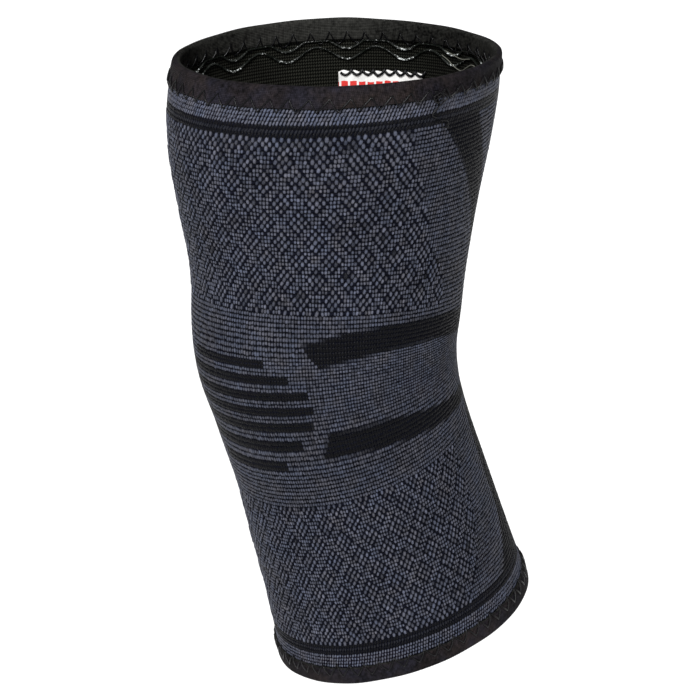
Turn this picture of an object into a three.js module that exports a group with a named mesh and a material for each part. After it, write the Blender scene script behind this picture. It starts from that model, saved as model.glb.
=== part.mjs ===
// Knitted knee sleeve, in millimetres, +Z up the thigh, kneecap toward -Y.
// The origin is the middle of the hollow at the knee.
import * as THREE from 'three';

// Whole sleeve
const LENGTH = 252;             // along the middle line, rim to rim
const KNEE_HALF_WIDTH = 50;     // outside of the knit at the knee, side to side
const KNEE_HALF_DEPTH = 54;     // the same, front to back
const ANGLE_STEPS = 64;         // facets round the leg

// Bulge of the kneecap
const KNEECAP_RISE = 2.6;
const KNEECAP_DOWN = 116;       // its middle, below the rim
const KNEECAP_REACH = 24;       // from its middle up and down
const KNEECAP_TURN = 75;        // degrees from its middle to either side

// Lift of the top rim toward one side of the back
const RIM_LIFT = 1.7;
const RIM_LIFT_TURN = 230;      // degrees round to its highest place
const RIM_LIFT_REACH = 22;      // how far down the wall it is felt

// Knit and tape
const KNIT = 2.0;               // wall of the knitted tube
const HEM_KNIT = 1.3;           // the same wall squeezed inside a binding
const TAPE = 0.9;               // elastic tape of the bindings
const GAP = 0.3;                // left between pieces
const TAPE_OUTSIDE = 8.2;       // how far a binding reaches down the outside
const TAPE_INSIDE = 8.4;        // and down the inside
const TAPE_ROLL = 0.45;         // bevel along the fold and the edges of the tape
const SWELL = 1.7;              // length over which the knit gets back its full wall

// Silicone grip lines inside the top
const GRIP_RADIUS = 0.55;
const GRIP_SIDES = 5;
const GRIP_WAVES = 16;
const STEPS_PER_WAVE = 6;
const GRIP_SWING = 2.05;        // half the height of a wave
const GRIP_START = 8.5;         // degrees round to the first crest
const UPPER_GRIP = 9.4;         // middle of each line, below the rim
const LOWER_GRIP = 13.7;

// Woven label inside the back
const LABEL_WIDTH = 38;
const LABEL_HEIGHT = 20;
const LABEL_THICKNESS = 0.6;
const LABEL_TOP = 21.5;         // below the rim
const LABEL_ANGLE = 209;        // degrees round from the kneecap
const LABEL_COLUMNS = 10;
const LABEL_ROWS = 4;

// One row per section, top rim first. share: way down the middle line.
// back, up: middle of the section as shares of LENGTH. tilt: degrees, back edge up.
// width, depth: half sizes as shares of KNEE_HALF_WIDTH and KNEE_HALF_DEPTH.
const SECTIONS = [
  { share: 0.00, back: 0.0154, up: 0.5000, tilt: 3.2, width: 1.370, depth: 1.171 },
  { share: 0.06, back: 0.0078, up: 0.4403, tilt: 3.8, width: 1.349, depth: 1.235 },
  { share: 0.14, back: 0.0016, up: 0.3603, tilt: 3.8, width: 1.281, depth: 1.232 },
  { share: 0.24, back: -0.0019, up: 0.2602, tilt: 1.8, width: 1.173, depth: 1.157 },
  { share: 0.34, back: -0.0028, up: 0.1600, tilt: -1.0, width: 1.091, depth: 1.073 },
  { share: 0.42, back: -0.0045, up: 0.0799, tilt: 0.5, width: 1.058, depth: 1.036 },
  { share: 0.50, back: 0.0000, up: 0.0000, tilt: 9.9, width: 1.029, depth: 0.988 },
  { share: 0.58, back: 0.0205, up: -0.0770, tilt: 18.0, width: 1.001, depth: 0.948 },
  { share: 0.66, back: 0.0486, up: -0.1519, tilt: 20.8, width: 0.979, depth: 0.943 },
  { share: 0.76, back: 0.0834, up: -0.2456, tilt: 20.2, width: 0.980, depth: 0.975 },
  { share: 0.88, back: 0.1263, up: -0.3582, tilt: 18.8, width: 0.982, depth: 1.013 },
  { share: 1.00, back: 0.1677, up: -0.4718, tilt: 16.5, width: 0.975, depth: 1.075 },
];

const FACETS_DOWN = 19;         // facets of the knit between the two bindings
const CROWDING = 0.3;           // how much closer the facets are near the bindings
const FACET_SAG = 0.15;         // how far a facet of the wall cuts inside the true curve

const radians = (degrees) => (degrees * Math.PI) / 180;

// Slope of a column at one row, from its neighbours
function slope(column, row) {
  const before = SECTIONS[Math.max(row - 1, 0)];
  const after = SECTIONS[Math.min(row + 1, SECTIONS.length - 1)];
  return (after[column] - before[column]) / (after.share - before.share);
}

// Smooth value of a column anywhere down the sleeve
function blend(column, share) {
  let row = 0;
  while (row < SECTIONS.length - 2 && share > SECTIONS[row + 1].share) row += 1;
  const start = SECTIONS[row];
  const end = SECTIONS[row + 1];
  const span = end.share - start.share;
  const t = (share - start.share) / span;
  const startPull = (1 - t) * (1 - t) * t * span * slope(column, row);
  const endPull = (t - 1) * t * t * span * slope(column, row + 1);
  const startPart = (1 + 2 * t) * (1 - t) * (1 - t) * start[column];
  const endPart = (3 - 2 * t) * t * t * end[column];
  return startPart + startPull + endPart + endPull;
}

// Height of the kneecap's bulge, 0 away from it
function kneecap(down, angle) {
  const turn = THREE.MathUtils.radToDeg(Math.atan2(Math.sin(angle), Math.cos(angle)));
  const along = Math.min(Math.abs(down - KNEECAP_DOWN) / KNEECAP_REACH, 1);
  const round = Math.min(Math.abs(turn) / KNEECAP_TURN, 1);
  return KNEECAP_RISE * (1 - along ** 2) ** 2 * (1 - round ** 2) ** 2;
}

// How far the top rim is lifted, 0 away from it
function rimLift(down, angle) {
  const near = Math.max(1 - Math.max(down, 0) / RIM_LIFT_REACH, 0);
  return RIM_LIFT * near ** 2 * Math.max(Math.cos(angle - radians(RIM_LIFT_TURN)), 0) ** 4;
}

// Point of the sleeve: down the outside from the top rim, round from the kneecap,
// and out from the outer face of the knit
function place(down, angle, out) {
  const share = Math.min(Math.max(down / LENGTH, 0), 1);
  const past = down - share * LENGTH;
  const tilt = radians(blend('tilt', share));
  const width = blend('width', share) * KNEE_HALF_WIDTH;
  const depth = blend('depth', share) * KNEE_HALF_DEPTH;
  const normal = new THREE.Vector2(Math.sin(angle) / width, -Math.cos(angle) / depth).normalize();
  const rise = out + kneecap(down, angle);
  const side = width * Math.sin(angle) + rise * normal.x;
  const rear = -depth * Math.cos(angle) + rise * normal.y;
  return new THREE.Vector3(
    side,
    blend('back', share) * LENGTH + rear * Math.cos(tilt) + past * Math.sin(tilt),
    blend('up', share) * LENGTH + rear * Math.sin(tilt) - past * Math.cos(tilt) + rimLift(down, angle),
  );
}

function geometryOf(points, faces) {
  const geometry = new THREE.BufferGeometry();
  geometry.setAttribute('position', new THREE.Float32BufferAttribute(points.flatMap((p) => p.toArray()), 3));
  geometry.setIndex(faces);
  geometry.computeVertexNormals();
  return geometry;
}

// Closed ring round the leg, from a loop of [down, out] pairs at each angle
function ringSolid(steps, loopAt) {
  const points = [];
  const faces = [];
  const size = loopAt(0).length;
  for (let step = 0; step < steps; step += 1) {
    const angle = (2 * Math.PI * step) / steps;
    for (const [down, out] of loopAt(angle)) points.push(place(down, angle, out));
    const here = step * size;
    const next = ((step + 1) % steps) * size;
    for (let corner = 0; corner < size; corner += 1) {
      const after = (corner + 1) % size;
      faces.push(here + corner, here + after, next + corner);
      faces.push(next + corner, here + after, next + after);
    }
  }
  return geometryOf(points, faces);
}

// Curved sheet lying along the wall, closed on all sides
function sheetSolid(columns, rows, columnAngle, rowDown, nearOut, farOut) {
  const points = [];
  const faces = [];
  const layer = (columns + 1) * (rows + 1);
  const at = (column, row, far) => far * layer + row * (columns + 1) + column;
  for (const out of [nearOut, farOut]) {
    for (let row = 0; row <= rows; row += 1) {
      for (let column = 0; column <= columns; column += 1) {
        points.push(place(rowDown(row), columnAngle(column), out));
      }
    }
  }
  const quad = (a, b, c, d) => faces.push(a, b, c, a, c, d);
  for (let row = 0; row < rows; row += 1) {
    for (let column = 0; column < columns; column += 1) {
      const right = column + 1;
      const below = row + 1;
      quad(at(column, row, 0), at(column, below, 0), at(right, below, 0), at(right, row, 0));
      quad(at(column, row, 1), at(right, row, 1), at(right, below, 1), at(column, below, 1));
    }
  }
  for (let column = 0; column < columns; column += 1) {
    const right = column + 1;
    quad(at(column, 0, 0), at(right, 0, 0), at(right, 0, 1), at(column, 0, 1));
    quad(at(column, rows, 0), at(column, rows, 1), at(right, rows, 1), at(right, rows, 0));
  }
  for (let row = 0; row < rows; row += 1) {
    const below = row + 1;
    quad(at(0, row, 0), at(0, row, 1), at(0, below, 1), at(0, below, 0));
    quad(at(columns, row, 0), at(columns, below, 0), at(columns, below, 1), at(columns, row, 1));
  }
  return geometryOf(points, faces);
}

// Faces of the squeezed knit inside a binding
const HEM_OUT = -(KNIT - HEM_KNIT) / 2;
const HEM_IN = HEM_OUT - HEM_KNIT;
const KNIT_END = TAPE + GAP;

// Knitted tube: outer face going down, inner face coming back up
function knitLoop() {
  const outer = [[KNIT_END, HEM_OUT], [TAPE_OUTSIDE + GAP, HEM_OUT]];
  const inner = [[KNIT_END, HEM_IN], [TAPE_INSIDE + GAP, HEM_IN]];
  const first = TAPE_OUTSIDE + GAP + SWELL;
  for (let step = 0; step <= FACETS_DOWN; step += 1) {
    const turn = step / FACETS_DOWN;
    const crowded = turn - (CROWDING * Math.sin(2 * Math.PI * turn)) / (2 * Math.PI);
    const down = first + (LENGTH - 2 * first) * crowded;
    outer.push([down, 0]);
    inner.push([down, -KNIT]);
  }
  outer.push([LENGTH - TAPE_OUTSIDE - GAP, HEM_OUT], [LENGTH - KNIT_END, HEM_OUT]);
  inner.push([LENGTH - TAPE_INSIDE - GAP, HEM_IN], [LENGTH - KNIT_END, HEM_IN]);
  return [...outer, ...inner.reverse()];
}

// Tape folded over the top rim; the same loop mirrored makes the lower one
function tapeLoop() {
  const outFace = HEM_OUT + GAP + TAPE;
  const inFace = HEM_IN - GAP - TAPE;
  return [
    [0, outFace - TAPE_ROLL],
    [TAPE_ROLL, outFace],
    [TAPE_OUTSIDE - TAPE_ROLL, outFace],
    [TAPE_OUTSIDE, outFace - TAPE_ROLL],
    [TAPE_OUTSIDE, outFace - TAPE],
    [TAPE, outFace - TAPE],
    [TAPE, inFace + TAPE],
    [TAPE_INSIDE, inFace + TAPE],
    [TAPE_INSIDE, inFace + TAPE_ROLL],
    [TAPE_INSIDE - TAPE_ROLL, inFace],
    [TAPE_ROLL, inFace],
    [0, inFace + TAPE_ROLL],
  ];
}

const lowerTapeLoop = () => tapeLoop().map(([down, out]) => [LENGTH - down, out]).reverse();

// Wavy silicone strand lying on the inner face, its crests pressed flat along the tape's edge
function gripLoop(middle) {
  const out = -KNIT - GAP - FACET_SAG - GRIP_RADIUS;
  const highest = TAPE_INSIDE + GAP + GRIP_RADIUS;
  return (angle) => {
    const swing = GRIP_SWING * Math.cos(GRIP_WAVES * (angle - radians(GRIP_START)));
    const wave = Math.max(middle - swing, highest);
    return Array.from({ length: GRIP_SIDES }, (_, side) => {
      const turn = (2 * Math.PI * side) / GRIP_SIDES;
      return [wave + GRIP_RADIUS * Math.sin(turn), out + GRIP_RADIUS * Math.cos(turn)];
    });
  };
}

function labelSheet() {
  const radius = (blend('width', LABEL_TOP / LENGTH) * KNEE_HALF_WIDTH
    + blend('depth', LABEL_TOP / LENGTH) * KNEE_HALF_DEPTH) / 2 - KNIT;
  const sweep = LABEL_WIDTH / radius;
  return sheetSolid(
    LABEL_COLUMNS,
    LABEL_ROWS,
    (column) => radians(LABEL_ANGLE) + sweep * (column / LABEL_COLUMNS - 0.5),
    (row) => LABEL_TOP + (LABEL_HEIGHT * row) / LABEL_ROWS,
    -KNIT - GAP - FACET_SAG,
    -KNIT - GAP - FACET_SAG - LABEL_THICKNESS,
  );
}

const sleeve = new THREE.Group();
sleeve.name = 'knee_sleeve';

function addPiece(name, geometry, color, roughness) {
  const material = new THREE.MeshStandardMaterial({ color, roughness, metalness: 0 });
  const mesh = new THREE.Mesh(geometry, material);
  mesh.name = name;
  sleeve.add(mesh);
}

addPiece('knit_tube', ringSolid(ANGLE_STEPS, knitLoop), '#3d414e', 0.9);
addPiece('upper_binding', ringSolid(ANGLE_STEPS, tapeLoop), '#232124', 0.85);
addPiece('lower_binding', ringSolid(ANGLE_STEPS, lowerTapeLoop), '#232124', 0.85);
addPiece('grip_line_upper', ringSolid(GRIP_WAVES * STEPS_PER_WAVE, gripLoop(UPPER_GRIP)), '#c9cdd2', 0.25);
addPiece('grip_line_lower', ringSolid(GRIP_WAVES * STEPS_PER_WAVE, gripLoop(LOWER_GRIP)), '#c9cdd2', 0.25);
addPiece('label', labelSheet(), '#ecebe7', 0.7);

export default sleeve;
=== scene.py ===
"""Knee sleeve: knit, stitches, bindings, seams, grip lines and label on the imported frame."""

import math

import bmesh
import bpy
import numpy as np
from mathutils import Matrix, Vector


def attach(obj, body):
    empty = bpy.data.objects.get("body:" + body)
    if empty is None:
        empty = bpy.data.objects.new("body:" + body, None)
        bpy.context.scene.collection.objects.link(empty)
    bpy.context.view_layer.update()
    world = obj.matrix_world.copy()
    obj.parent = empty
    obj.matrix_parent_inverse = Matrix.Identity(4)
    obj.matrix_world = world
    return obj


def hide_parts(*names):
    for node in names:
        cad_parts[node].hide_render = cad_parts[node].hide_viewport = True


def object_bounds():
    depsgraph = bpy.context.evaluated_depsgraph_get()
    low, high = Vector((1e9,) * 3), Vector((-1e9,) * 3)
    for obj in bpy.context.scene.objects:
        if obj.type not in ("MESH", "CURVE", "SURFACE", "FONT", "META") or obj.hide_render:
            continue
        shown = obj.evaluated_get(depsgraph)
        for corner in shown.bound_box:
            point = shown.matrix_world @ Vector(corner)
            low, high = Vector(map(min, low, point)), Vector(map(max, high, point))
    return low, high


bl_info = {
    "name": "Knee sleeve",
    "version": (1, 0, 0),
    "blender": (4, 5, 0),
    "location": "View3D > Sidebar > Knee sleeve",
    "description": "Builds a knitted knee sleeve on its packed frame",
    "category": "Object",
}

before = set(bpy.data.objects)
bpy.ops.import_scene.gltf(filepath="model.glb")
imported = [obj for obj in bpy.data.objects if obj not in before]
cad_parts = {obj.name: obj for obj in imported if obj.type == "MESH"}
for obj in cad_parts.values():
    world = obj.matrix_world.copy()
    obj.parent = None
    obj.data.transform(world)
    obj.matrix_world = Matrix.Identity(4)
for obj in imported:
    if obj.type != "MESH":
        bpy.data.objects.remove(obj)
CAD_BOX = [list(corner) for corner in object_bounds()]
MM = 0.001

# The sleeve's own sizes, in millimetres, as its solids have them
LENGTH = 252.0
KNEE_HALF_WIDTH = 50.0
KNEE_HALF_DEPTH = 54.0
KNIT = 2.0
HEM_KNIT = 1.3
TAPE = 0.9
GAP = 0.3
TAPE_OUTSIDE = 8.2
TAPE_INSIDE = 8.4
SWELL = 1.7
KNEECAP = {"rise": 2.6, "down": 116.0, "reach": 24.0, "turn": 75.0}
RIM_LIFT = {"rise": 1.7, "turn": 230.0, "reach": 22.0}
# How far out from the knit's face the hem's and the tape's faces lie
HEM_OUT = -(KNIT - HEM_KNIT) / 2
HEM_IN = HEM_OUT - HEM_KNIT
TAPE_OUT_FACE = HEM_OUT + GAP + TAPE
TAPE_IN_FACE = HEM_IN - GAP - TAPE

# One row per section, top rim first, as in the solids
SECTION_COLUMNS = ("share", "back", "up", "tilt", "width", "depth")
SECTIONS = np.array([
    (0.00, 0.0154, 0.5000, 3.2, 1.370, 1.171),
    (0.06, 0.0078, 0.4403, 3.8, 1.349, 1.235),
    (0.14, 0.0016, 0.3603, 3.8, 1.281, 1.232),
    (0.24, -0.0019, 0.2602, 1.8, 1.173, 1.157),
    (0.34, -0.0028, 0.1600, -1.0, 1.091, 1.073),
    (0.42, -0.0045, 0.0799, 0.5, 1.058, 1.036),
    (0.50, 0.0000, 0.0000, 9.9, 1.029, 0.988),
    (0.58, 0.0205, -0.0770, 18.0, 1.001, 0.948),
    (0.66, 0.0486, -0.1519, 20.8, 0.979, 0.943),
    (0.76, 0.0834, -0.2456, 20.2, 0.980, 0.975),
    (0.88, 0.1263, -0.3582, 18.8, 0.982, 1.013),
    (1.00, 0.1677, -0.4718, 16.5, 0.975, 1.075),
])

# Zones of the knit: down from, down to, courses in it
ZONES = {
    "upper_hem": (8.2, 19.0, 7),
    "thigh": (19.0, 96.0, 44),
    "knee_band": (96.0, 110.8, 9),
    "kneecap": (110.8, 151.0, 28),
    "shin_band": (151.0, 165.0, 8),
    "calf": (165.0, 232.6, 40),
    "lower_hem": (232.6, 243.8, 7),
}
# Which zones make one piece of stitches
STITCH_PIECES = {
    "stitches_thigh": ("upper_hem", "thigh"),
    "stitches_knee": ("knee_band", "kneecap", "shin_band"),
    "stitches_calf": ("calf", "lower_hem"),
}

# Pattern edges. Angles are degrees round from the kneecap, the same on both sides.
THIGH_PANEL = {"down": (19, 30, 46, 58, 71, 87, 96), "edge": (76, 79, 85, 89, 97, 104, 106)}
CALF_PANEL = {"down": (165, 186, 203, 213, 222, 226, 233), "edge": (108, 108, 105, 101, 96, 93, 88)}
SIDE_STRIP = {
    "down": (19, 62, 80, 100, 140, 155, 166, 210, 220, 228, 233),
    "inner": (89, 121, 133, 140, 140, 136, 130, 129, 124, 118, 113),
    "outer": (108, 134, 146, 156, 158, 157, 155, 154, 152, 150, 148),
}
UPPER_BAR = {
    "angle": (38, 56, 76, 101, 125, 140, 150),
    "top": (107.0, 102.8, 100.8, 99.9, 102.0, 103.5, 103.5),
    "bottom": (115.8, 112.8, 110.5, 110.4, 114.2, 116.5, 116.5),
    "start": ((107.0, 38.5), (114.5, 45.8)),
}
LOWER_BAR = {
    "angle": (40, 60, 73, 92, 111, 127, 140, 150),
    "top": (136.2, 136.6, 136.8, 140.2, 144.6, 147.5, 149.5, 149.5),
    "bottom": (145.9, 146.4, 147.8, 150.2, 153.0, 154.6, 155.8, 155.8),
    "start": ((136.2, 45.9), (145.9, 39.4)),
}
# The kneecap's stripes: how far round each reaches, and where courses lie down the sleeve
KNEECAP_STRIPES = (22.0, 32.4, 40.0, 41.6, 39.5, 32.6, 22.0)
STRIPE_COURSES = 4
KNEECAP_COURSES = {
    "course": (0, 2, 6, 10, 14, 18, 22, 26, 28),
    "down": (110.8, 113.0, 117.5, 122.4, 127.3, 132.7, 139.5, 147.2, 151.0),
}
# Widths of the steps between yarns, in millimetres down and degrees round
STEP_DOWN = 1.2
STEP_ROUND = 0.7
# Degrees round where the bars end
BAR_REACH = 152
# Wales and courses of one diamond, and how far its coarse bumps reach from its corners
DIAMOND = 10
DIAMOND_REACH = 3
# The plain band of coarse bumps at the hem's side of each panel, in courses
PANEL_EDGE = 3
# Courses of each hem's double line, black and faded black
HEM_LINES = {"upper_hem": ((4, 6), 5), "lower_hem": ((0, 2), 1)}
FADED = 0.88
# The hem's stitches: share of a wale that each course is set over by, and degrees that they lean
HEM_SHIFT = 0.30
HEM_LEAN = {"upper_hem": -32, "lower_hem": -14}
BUMP_LEAN = -12
# Middle and half width, in degrees round, of the part of the upper hem that the seam pressed flat
PRESSED_HEM = (140, 55)
# Half width and half height of each kind of stitch, as shares of a wale and a course, the unevenness of its
# tone, and the tone itself. The first kind that a stitch fits is its own.
STITCH_KINDS = {
    "bump": (0.68, 0.86, 0.26, -0.20),
    "panel": (0.55, 0.61, 0.26, -0.17),
    "pressed": (0.62, 0.84, 0.12, -0.10),
    "low_hem": (0.44, 0.62, 0.20, 0.10),
    "hem": (0.42, 0.86, 0.20, 0.05),
    "plain": (0.60, 0.56, 0.16, -0.36),
}
# How unevenly the stitches lie: share of a wale or a course, how much more the bumps stray, degrees of lean,
# and share of their size
STRAY = 0.05
BUMP_STRAY = 1.6
LEAN_SPREAD = 9
SIZE_SPREAD = 0.08
# Radius of a stitch's top as a share of its foot, and how far its foot lies in the ground, in millimetres
CROWN = 0.56
FOOT = 0.02
# Loops of the inner face for each wale and course of the outer one
INNER_LOOPS = {"across": 1.35, "down": 1.25}

# Tape and label weaves: millimetres from one cord to the next
TAPE_CORDS = {"across": 0.62, "along": 0.8}
LABEL_CORDS = {"across": 0.45, "along": 0.32}
# Tape: where the seam begins to draw it in, its fold at the rim, its edges' rounding, and its slack
DRAWN_FROM = 3.0
FOLD = 1.35
FOLD_END = 1.6
TAPE_CORNER = 0.25
TAPE_SLACK = 0.05
# How far its lower edge waves with the seam, and how far that edge and the rim wander
EDGE_WAVE = 0.12
EDGE_WANDER = 0.16
RIM_WANDER = 0.10
# Millimetres round a rim, as its weave counts them
TAPE_ROUND = 400.0

# How finely the meshes are cut
WALL_STEPS = 140
WALL_RINGS = 84
TAPE_STEPS = 624
LABEL_COLUMNS = 48
LABEL_ROWS = 22
ZIGZAG_STEPS = 12
THREAD_SIDES = 6
BEAD_SIDES = 8
STEPS_PER_WAVE = 20
# Courses that the knit's rows run on under each binding
HIDDEN_COURSES = 6.0
# Seeds of the threads and the beads
SEEDS = {"seams": 11, "beads": 5, "label_seam": 3}

# Zigzags: millimetres down of the two turns, and degrees round of the first
OUTSIDE_ZIGZAG = (9.5, 4.5, math.radians(58.4))
INSIDE_ZIGZAG = (9.9, 4.6, math.radians(256.3))
# Where each seam steps off the tape onto the knit, and how far out it lies on either side of that step
OUTSIDE_LEVELS = ((TAPE_OUTSIDE - 0.2, TAPE_OUTSIDE + 1.0), (TAPE_OUT_FACE + 0.24, 0.42))
INSIDE_LEVELS = ((TAPE_INSIDE, TAPE_INSIDE + 0.8), (TAPE_IN_FACE - 0.20, -KNIT - 0.15))
# How far the needle pulls the thread in, and how uneven its stitches are, in all, round and down
STITCH_DIP = 0.22
UNEVEN = 0.22
UNEVEN_ROUND = 0.12
UNEVEN_DOWN = 0.45
# Thickness of the bindings' seams, of the label's and of the pale ends, as shares of the thread's radius
ZIGZAG_GIRTH = 1.2
LABEL_GIRTH = 1.9
PALE_GIRTH = 0.6

# Silicone beads: millimetres down of each middle line, its swing, and where its first crest lies
GRIP_LINES = {"grip_line_upper": 9.4, "grip_line_lower": 13.7}
GRIP_SWING = 2.6
GRIP_START = math.radians(8.5)
# How far out they lie, and how close to the tape they may come
BEAD_OUT = -KNIT - GAP - 0.35
BEAD_CLEAR = 0.35

# Label: millimetres down of its top edge, and where its middle lies
LABEL_TOP = 21.5
LABEL_ANGLE = math.radians(209)
# Its seam: zigzags, the radius that they are spread over, turns, and where they step off the label
LABEL_ZIGZAGS = 8
LABEL_SEAM_RADIUS = 63.0
LABEL_TURNS = (LABEL_TOP + 1.35, LABEL_TOP - 0.9)
LABEL_LEVELS = ((LABEL_TOP - 0.6, LABEL_TOP), (-KNIT - 0.3, -KNIT - 1.2))
# How far out its two faces lie, how far it lifts off the knit, and how often across
LABEL_FACES = (-KNIT - 0.35, -KNIT - 0.75)
LABEL_LIFT = 0.55
LABEL_WAVES = 12.0
# How far it sags between them, and how far and how often its seam puckers its top edge
LABEL_SAG = 0.35
LABEL_PUCKER = 0.3
LABEL_PUCKERS = 50
# Its row of dashes, in millimetres from its top corner: middle and half height of the row, where it starts,
# the middle that its dashes are counted from, and half of their pitch and width
DASHES = {"down": 5.4, "half_height": 1.2, "start": 2.8, "first": 1.2, "half_pitch": 1.9, "half_width": 1.45}

# Loose thread ends: down, degrees round and out of the points along each
LOOSE_ENDS = {
    "end_over_tape": (
        (10.6, 84.0, 0.6), (7.4, 83.0, 1.4), (5.4, 81.6, 1.2), (6.6, 84.6, 1.7), (8.9, 85.4, 1.3),
        (9.6, 82.6, 1.5), (7.2, 81.2, 1.8), (6.0, 84.0, 1.5), (8.4, 87.2, 1.4), (11.4, 84.8, 0.7),
    ),
    "end_in_hem": (
        (11.3, 84.9, 0.7), (13.0, 83.2, 0.8), (14.7, 82.3, 0.7), (15.6, 83.4, 0.6), (16.2, 84.6, 0.4),
    ),
    "end_below_lines": (
        (17.6, 86.4, 0.5), (17.9, 88.4, 1.1), (19.2, 89.8, 0.9),
        (20.9, 89.6, 1.2), (20.4, 87.6, 0.9), (18.8, 87.2, 0.6),
    ),
    "tangle_inside": (
        (9.6, 167.0, -3.4), (7.0, 164.6, -4.0), (8.6, 161.4, -3.3), (6.4, 159.2, -4.2), (9.4, 157.6, -3.5),
        (7.4, 154.8, -4.0), (10.4, 151.6, -3.3), (8.4, 148.4, -4.0), (11.4, 146.8, -3.2),
    ),
}
PALE_ENDS = {
    "pale_end_short": (
        (10.2, 182.0, -2.5), (11.2, 177.4, -3.1), (12.4, 171.6, -3.4), (11.6, 166.4, -3.0),
    ),
    "pale_end_long": (
        (12.6, 183.0, -2.6), (14.2, 179.2, -3.2), (16.2, 175.6, -3.6), (17.4, 171.4, -3.5),
        (15.4, 167.4, -3.9), (13.6, 164.0, -3.8), (14.0, 161.4, -3.4), (16.2, 160.0, -3.0),
    ),
    "pale_end_fallen": (
        (17.2, 170.6, -3.3), (19.0, 168.6, -3.8), (21.0, 168.0, -3.5), (24.0, 168.4, -3.0),
    ),
}

# Camera: frame and focal length in pixels, and the point looked at, in millimetres
FRAME_PIXELS = 700
FOCAL_PIXELS = 3658
LOOK_AT = (8.571, 3.215)
LOOK_SHIFT = Vector((0.0, -0.378, 0.0))
# Metres that the floor lies under the part, which its mount holds up, and half the floor's width
FLOOR_BELOW = 0.40
FLOOR_HALF = 9
# Suns: across, up and toward the camera, degrees of softness, and power
SUNS = {
    "Key": (-0.29, 0.75, 1.0, 10.0, 3.1),
    "Fill": (-0.10, 0.30, 1.0, 30.0, 2.2),
}
ROOM_LIGHT = 0.25


# Shape of the worn sleeve

def smooth_step(t, start, start_slope, stop, stop_slope):
    """Cubic from start to stop, with the slopes that it has there."""
    return (
        (1 + 2 * t) * (1 - t) ** 2 * start + (1 - t) ** 2 * t * start_slope
        + (3 - 2 * t) * t * t * stop + (t - 1) * t * t * stop_slope
    )


def blend(column, share):
    """Smooth value of a section column anywhere down the sleeve."""
    knots = SECTIONS[:, 0]
    values = SECTIONS[:, SECTION_COLUMNS.index(column)]
    last = len(knots) - 1
    before = np.maximum(np.arange(last + 1) - 1, 0)
    after = np.minimum(np.arange(last + 1) + 1, last)
    slopes = (values[after] - values[before]) / (knots[after] - knots[before])
    row = np.clip(np.searchsorted(knots, share) - 1, 0, last - 1)
    span = knots[row + 1] - knots[row]
    t = (share - knots[row]) / span
    return smooth_step(t, values[row], span * slopes[row], values[row + 1], span * slopes[row + 1])


def place(down, angle, out):
    """Points in metres of places that lie so far down from the rim, round from the kneecap and out."""
    down, angle, out = np.broadcast_arrays(*(np.asarray(v, float) for v in (down, angle, out)))
    share = np.clip(down / LENGTH, 0, 1)
    past = down - share * LENGTH
    tilt = np.radians(blend("tilt", share))
    width = blend("width", share) * KNEE_HALF_WIDTH
    depth = blend("depth", share) * KNEE_HALF_DEPTH
    turn = np.degrees(np.arctan2(np.sin(angle), np.cos(angle)))
    along = np.minimum(np.abs(down - KNEECAP["down"]) / KNEECAP["reach"], 1)
    round_it = np.minimum(np.abs(turn) / KNEECAP["turn"], 1)
    rise = out + KNEECAP["rise"] * (1 - along**2) ** 2 * (1 - round_it**2) ** 2
    across, fore = np.sin(angle) / width, -np.cos(angle) / depth
    size = np.hypot(across, fore)
    side = width * np.sin(angle) + rise * across / size
    rear = -depth * np.cos(angle) + rise * fore / size
    back = blend("back", share) * LENGTH + rear * np.cos(tilt) + past * np.sin(tilt)
    near = np.maximum(1 - np.maximum(down, 0) / RIM_LIFT["reach"], 0)
    side_on = np.maximum(np.cos(angle - np.radians(RIM_LIFT["turn"])), 0)
    lift = RIM_LIFT["rise"] * near**2 * side_on**4
    up = blend("up", share) * LENGTH + rear * np.sin(tilt) - past * np.cos(tilt) + lift
    return np.stack([side, back, up], -1) * MM


def unit(vectors):
    return vectors / np.linalg.norm(vectors, axis=-1, keepdims=True)


def directions(down, angle):
    """Unit vectors at points of the sleeve: round it, up it and out of it."""
    step = 0.4
    turn = step / KNEE_HALF_DEPTH
    around = unit(place(down, angle + turn, 0) - place(down, angle - turn, 0))
    up = unit(place(down - step, angle, 0) - place(down + step, angle, 0))
    outward = unit(np.cross(around, up))
    return around, unit(np.cross(outward, around)), outward


# Pattern of the knit

def between(table, column, down, by="down"):
    return np.interp(down, table[by], table[column])


def cover(inside, step):
    """How much of a stitch lies inside an edge that is this far away."""
    return np.clip(0.5 + inside / step, 0, 1)


def bar_cover(bar, down, turn):
    (top_down, top_start), (low_down, low_start) = bar["start"]
    start = top_start + (down - top_down) * (low_start - top_start) / (low_down - top_down)
    below_top = cover(down - between(bar, "top", turn, "angle"), STEP_DOWN)
    above_bottom = cover(between(bar, "bottom", turn, "angle") - down, STEP_DOWN)
    return below_top * above_bottom * cover(turn - start, STEP_ROUND) * (turn < BAR_REACH)


def strip_cover(down, turn):
    outside = cover(turn - between(SIDE_STRIP, "inner", down), STEP_ROUND)
    return outside * cover(between(SIDE_STRIP, "outer", down) - turn, STEP_ROUND)


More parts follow.
